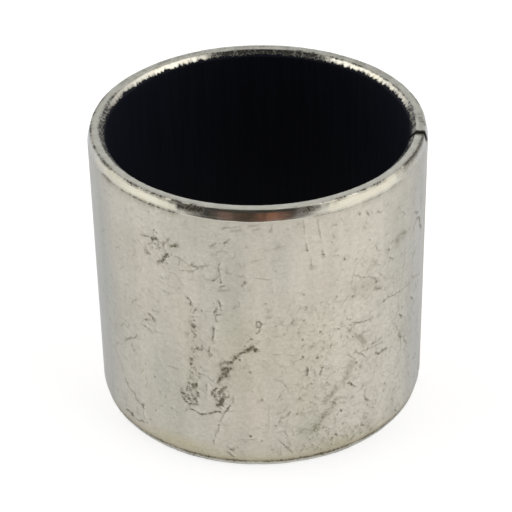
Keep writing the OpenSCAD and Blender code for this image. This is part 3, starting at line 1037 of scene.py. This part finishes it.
# Rim finishes: material, tones, colour of dirt and painted shade, roughness, contrast of the tool marks,
# depth of the grain, film of dirt and shade
RIM_FINISHES = {
    "lead_in": ("lead_in_chamfer", (CHAMFER_WARM, CHAMFER_PALE), EDGE_DIRT_AND_SHADE, 0.18, 0.08, 0.007, 0.9),
    "foot": ("foot_chamfer", (FOOT_OLIVE, FOOT_TAN), FOOT_SHADOW_AND_DIRT, 0.32, 0.06, 0.006, 0.75),
    "foot_edge": ("foot_edge", (FOOT_LIT_GREY, FOOT_LIT_PALE), FOOT_SHADOW_AND_DIRT, 0.32, 0.06, 0.006, 0.75),
    "land": ("rim_land", (LAND_GREY, LAND_LIGHT), EDGE_DIRT_AND_SHADE, 0.40, 0.10, 0.004, 0.75),
    "mouth": ("mouth_chamfer", (CHAMFER_WARM, CHAMFER_PALE), MOUTH_DIRT_AND_SHADE, 0.24, 0.10, 0.012, 0.88),
}
WALL_FILM = 0.75
WALL_GRAIN_DEPTH = 0.004
JOINT_GRAIN_DEPTH = 0.01


def specked(nodes, place, film):
    """Share of dirt and painted shade: a soft film with darker specks where it is strong."""
    dirt_and_shade = nodes.layer("stain")
    grit = nodes.step(nodes.noise(place, 5.0, 2), 0.3, 0.7, 0.0, 0.8)
    specks = nodes.step(nodes.math("SUBTRACT", dirt_and_shade, grit), 0.0, 0.5)
    return nodes.math("MAXIMUM", specks, nodes.times(dirt_and_shade, film))


def plate(nodes, shader, tone, rough, stain, height, depth):
    """Plated steel, less metallic where it is dirty and where shade is painted."""
    metallic = nodes.step(stain, 0.0, 1.0, 1.0, 0.4)
    nodes.feed(shader, {"Base Color": tone, "Roughness": rough, "Metallic": metallic})
    nodes.feed(shader, {"Normal": nodes.bump(height, depth), "Specular Tint": EDGE_TINT})


def plated_wall():
    material, nodes, shader = new_material("plated_wall")
    place = nodes.strip()
    mottle = nodes.noise(place, 2.2, 4, 0.65)
    cloud = nodes.noise(place, 0.3)
    tone = nodes.mix(nodes.step(cloud, 0.35, 0.65), WARM_PLATE, PALE_PLATE)
    uneven = nodes.step(cloud, 0.2, 0.7, 0.6, 1.0)
    for name, colour in TINT_TONES.items():
        tone = nodes.mix(nodes.times(nodes.layer(name), uneven), tone, colour)
    tone = nodes.shade(tone, mottle, 0.25, 0.75, 0.92, 1.06)
    tone = nodes.shade(tone, nodes.noise(place, 4.5), 0.25, 0.75, 0.94, 1.06)
    tone = nodes.shade(tone, nodes.noise(nodes.drawn(place, 0.7, 0.07), 1.0, 2, 0.5), 0.3, 0.7, 0.96, 1.04)
    patchy = nodes.step(nodes.noise(place, 3.2), 0.35, 0.65, 0.4, 1.0)
    tone = nodes.mix(nodes.times(nodes.layer("smear"), patchy), tone, SMEAR)
    tone = nodes.shade(tone, nodes.noise(nodes.drawn(place, 1.6, 4.5)), 0.3, 0.7, 0.985, 1.015)
    # Painted highlight beside the marks
    tone = nodes.mix(nodes.layer("burr"), tone, MARK_HIGHLIGHT)
    # On the wall this share also holds the painted shadow along the foot
    stain = specked(nodes, place, WALL_FILM)
    tone = nodes.mix(stain, tone, STAIN)
    rough = nodes.math("ADD", nodes.step(mottle, 0.25, 0.75, 0.30, 0.38), nodes.times(stain, 0.2))
    grain = nodes.noise(place, 11.0, rough=0.5)
    height = nodes.math("ADD", nodes.times(grain, 0.5), nodes.times(stain, -0.8))
    plate(nodes, shader, tone, rough, stain, height, WALL_GRAIN_DEPTH)
    return material


def plated_rim(name, tones, dirt_and_shade, roughness, streak, depth, film):
    """Plated steel of a rim face, with tool marks that run round it."""
    material, nodes, shader = new_material(name)
    place = nodes.strip()
    lines = nodes.noise(nodes.drawn(place, 0.8, 9.0))
    tone = nodes.mix(nodes.step(nodes.noise(place, 0.9), 0.3, 0.7), *tones)
    tone = nodes.shade(tone, lines, 0.25, 0.75, 1 - streak, 1 + streak)
    # On the rims this share holds dirt, painted shade and a painted dark reflection
    stain = specked(nodes, place, film)
    tone = nodes.mix(stain, tone, dirt_and_shade)
    rough = nodes.step(lines, 0.25, 0.75, roughness - 0.05, roughness + 0.05)
    rough = nodes.math("ADD", rough, nodes.times(stain, 0.25))
    height = nodes.math("ADD", nodes.times(lines, 0.4), nodes.times(nodes.noise(place, 7.0), 0.6))
    plate(nodes, shader, tone, rough, stain, height, depth)
    return material


def joint_face():
    """Cut end of the strip, painted nearly black for the shade in the narrow joint."""
    material, nodes, shader = new_material("joint_face")
    grain = nodes.noise(nodes.put("TexCoord", {}, "Object"), 2500.0, rough=0.5)
    tone = nodes.mix(grain, JOINT_SHADE_BLACK, JOINT_SHADE_BROWN)
    nodes.feed(shader, {"Base Color": tone, "Normal": nodes.bump(grain, JOINT_GRAIN_DEPTH)})
    nodes.feed(shader, {"Roughness": 0.6, "Specular IOR Level": 0.2})
    return material


def sliding_layer():
    """Matte black layer with faint streaks along the bore."""
    material, nodes, shader = new_material("sliding_layer")
    streaks = nodes.step(nodes.noise(nodes.drawn(nodes.strip(), 2.2, 0.12)), 0.35, 0.7)
    tone = nodes.mix(streaks, LAYER_BLACK, LAYER_STREAK)
    nodes.feed(shader, {"Base Color": tone, "Roughness": 0.6, "Specular IOR Level": 0.08})
    return material


# Pieces
shell_looks = {"wall": plated_wall()}
for finish, look in RIM_FINISHES.items():
    shell_looks[finish] = plated_rim(*look)
shell_looks["joint"] = joint_face()
shell = bpy.data.objects.new("steel_shell_finish", build_shell(list(shell_looks)))
bpy.context.scene.collection.objects.link(shell)
for material in shell_looks.values():
    shell.data.materials.append(material)
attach(shell, "root")
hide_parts("steel_shell")

liner = bpy.data.objects.new("sliding_liner_finish", build_liner())
bpy.context.scene.collection.objects.link(liner)
liner.data.materials.append(sliding_layer())
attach(liner, "root")
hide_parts("sliding_liner")

# Floor: its radius in metres, its own grey, and the white added where it is seen, also in reflections
FLOOR_R = 0.1
FLOOR_GREY = (0.42, 0.42, 0.42, 1)
FLOOR_WHITE = 0.71


def white_floor():
    material, nodes, shader = new_material("white_floor")
    nodes.tree.nodes.remove(shader)
    rays = nodes.tree.nodes.new("ShaderNodeLightPath").outputs
    seen = nodes.math("MAXIMUM", rays["Is Glossy Ray"], rays["Is Transmission Ray"])
    seen = nodes.math("MAXIMUM", rays["Is Camera Ray"], seen)
    lit = nodes.put("BsdfDiffuse", {"Color": FLOOR_GREY})
    white = nodes.put("Emission", {"Color": WHITE, "Strength": nodes.times(seen, FLOOR_WHITE)})
    nodes.feed(nodes.tree.nodes["Material Output"], {"Surface": nodes.put("AddShader", {0: lit, 1: white})})
    return material


bpy.ops.mesh.primitive_circle_add(vertices=128, radius=FLOOR_R, fill_type="NGON", location=(0, 0, 0))
floor = bpy.context.object
floor.name = "floor"
floor.data.materials.append(white_floor())

# Soft studio surroundings
HORIZON = (1.30, 1.30, 1.30, 1)
SIDE_LOW = (1.32, 1.31, 1.22, 1)
SIDE_HIGH = (2.10, 2.08, 1.98, 1)


def surroundings():
    world = bpy.context.scene.world or bpy.data.worlds.new("surroundings")
    bpy.context.scene.world = world
    world.use_nodes = True
    nodes = Nodes(world.node_tree)
    turn = (0, 0, -math.radians(CAMERA_AZIMUTH))
    turned = nodes.put("Mapping", {"Vector": nodes.put("TexCoord", {}, "Generated"), "Rotation": turn})
    split = nodes.tree.nodes.new("ShaderNodeSeparateXYZ")
    nodes.feed(split, {0: turned})
    x, y, z = split.outputs
    toward = nodes.math("DEGREES", nodes.math("ARCTAN2", x, nodes.times(y, -1.0)))
    height = nodes.math("DEGREES", nodes.math("ARCSINE", z))

    def panel(centre, half_width, soft, low, high, taper=0.0):
        """Share of a soft panel, in degrees round from the camera and up, narrower below by the taper."""
        off = nodes.math("ABSOLUTE", nodes.math("SUBTRACT", toward, centre))
        off = nodes.math("ADD", off, nodes.step(height, -10, 2, taper, 0.0))
        across = nodes.step(off, half_width - soft, half_width + soft, 1.0, 0.0)
        rise = nodes.step(height, low - soft, low + soft)
        fall = nodes.step(height, high - soft, high + soft, 1.0, 0.0)
        return nodes.times(across, nodes.times(rise, fall))

    side = nodes.mix(nodes.step(height, 5, 45), SIDE_LOW, SIDE_HIGH)
    light = nodes.mix(nodes.step(height, 0, 14), HORIZON, WHITE)
    # Overhead, both side lights, a shade at the back, the dark camera side and what the near chamfer reflects
    for share, tone in (
            (panel(0, 400, 5, 60, 200), (0.9, 0.9, 0.9, 1)),
            (panel(-85, 35, 14, -40, 62), side),
            (panel(70, 34, 14, -40, 62), side),
            (panel(119, 18, 8, -30, 12), (0.55, 0.55, 0.54, 1)),
            (panel(-9.3, 51, 10, -100, 80, 19), (0.05, 0.053, 0.05, 1)),
            (panel(-20, 5.5, 3, -14, 8), (0.27, 0.18, 0.155, 1)),
            (panel(-8, 7, 3, -14, 8), (0.08, 0.06, 0.045, 1)),
            (panel(8, 7.5, 5, -14, 8), (0.38, 0.185, 0.125, 1))):
        light = nodes.mix(share, light, tone)
    rays = nodes.tree.nodes.new("ShaderNodeLightPath").outputs
    seen = nodes.math("MAXIMUM", rays["Is Camera Ray"], rays["Is Transmission Ray"])
    nodes.feed(nodes.tree.nodes["Background"], {"Color": nodes.mix(seen, light, WHITE), "Strength": 1.0})


surroundings()


# Camera
def photograph_camera():
    angles = (CAMERA_AZIMUTH, CAMERA_ELEVATION, CAMERA_PITCH, CAMERA_YAW, CAMERA_ROLL)
    azimuth, elevation, pitch, yaw, roll = [math.radians(angle) for angle in angles]
    away, above = CAMERA_DISTANCE * math.cos(elevation), CAMERA_DISTANCE * math.sin(elevation)
    pose = Matrix.Rotation(azimuth, 4, "Z") @ Matrix.Translation(Vector((0, -away, LENGTH / 2 + above)) * MM)
    pose @= Matrix.Rotation(-yaw, 4, "Z") @ Matrix.Rotation(math.pi / 2 - pitch, 4, "X")
    data = bpy.data.cameras.new("camera")
    data.sensor_width = SENSOR_MM
    data.lens = FOCAL_PX / IMAGE_PX * SENSOR_MM
    data.clip_start = 0.01
    camera = bpy.data.objects.new("camera", data)
    camera.matrix_world = pose @ Matrix.Rotation(roll, 4, "Z")
    bpy.context.scene.collection.objects.link(camera)
    bpy.context.scene.camera = camera


photograph_camera()
bpy.context.scene.view_settings.view_transform = "Standard"
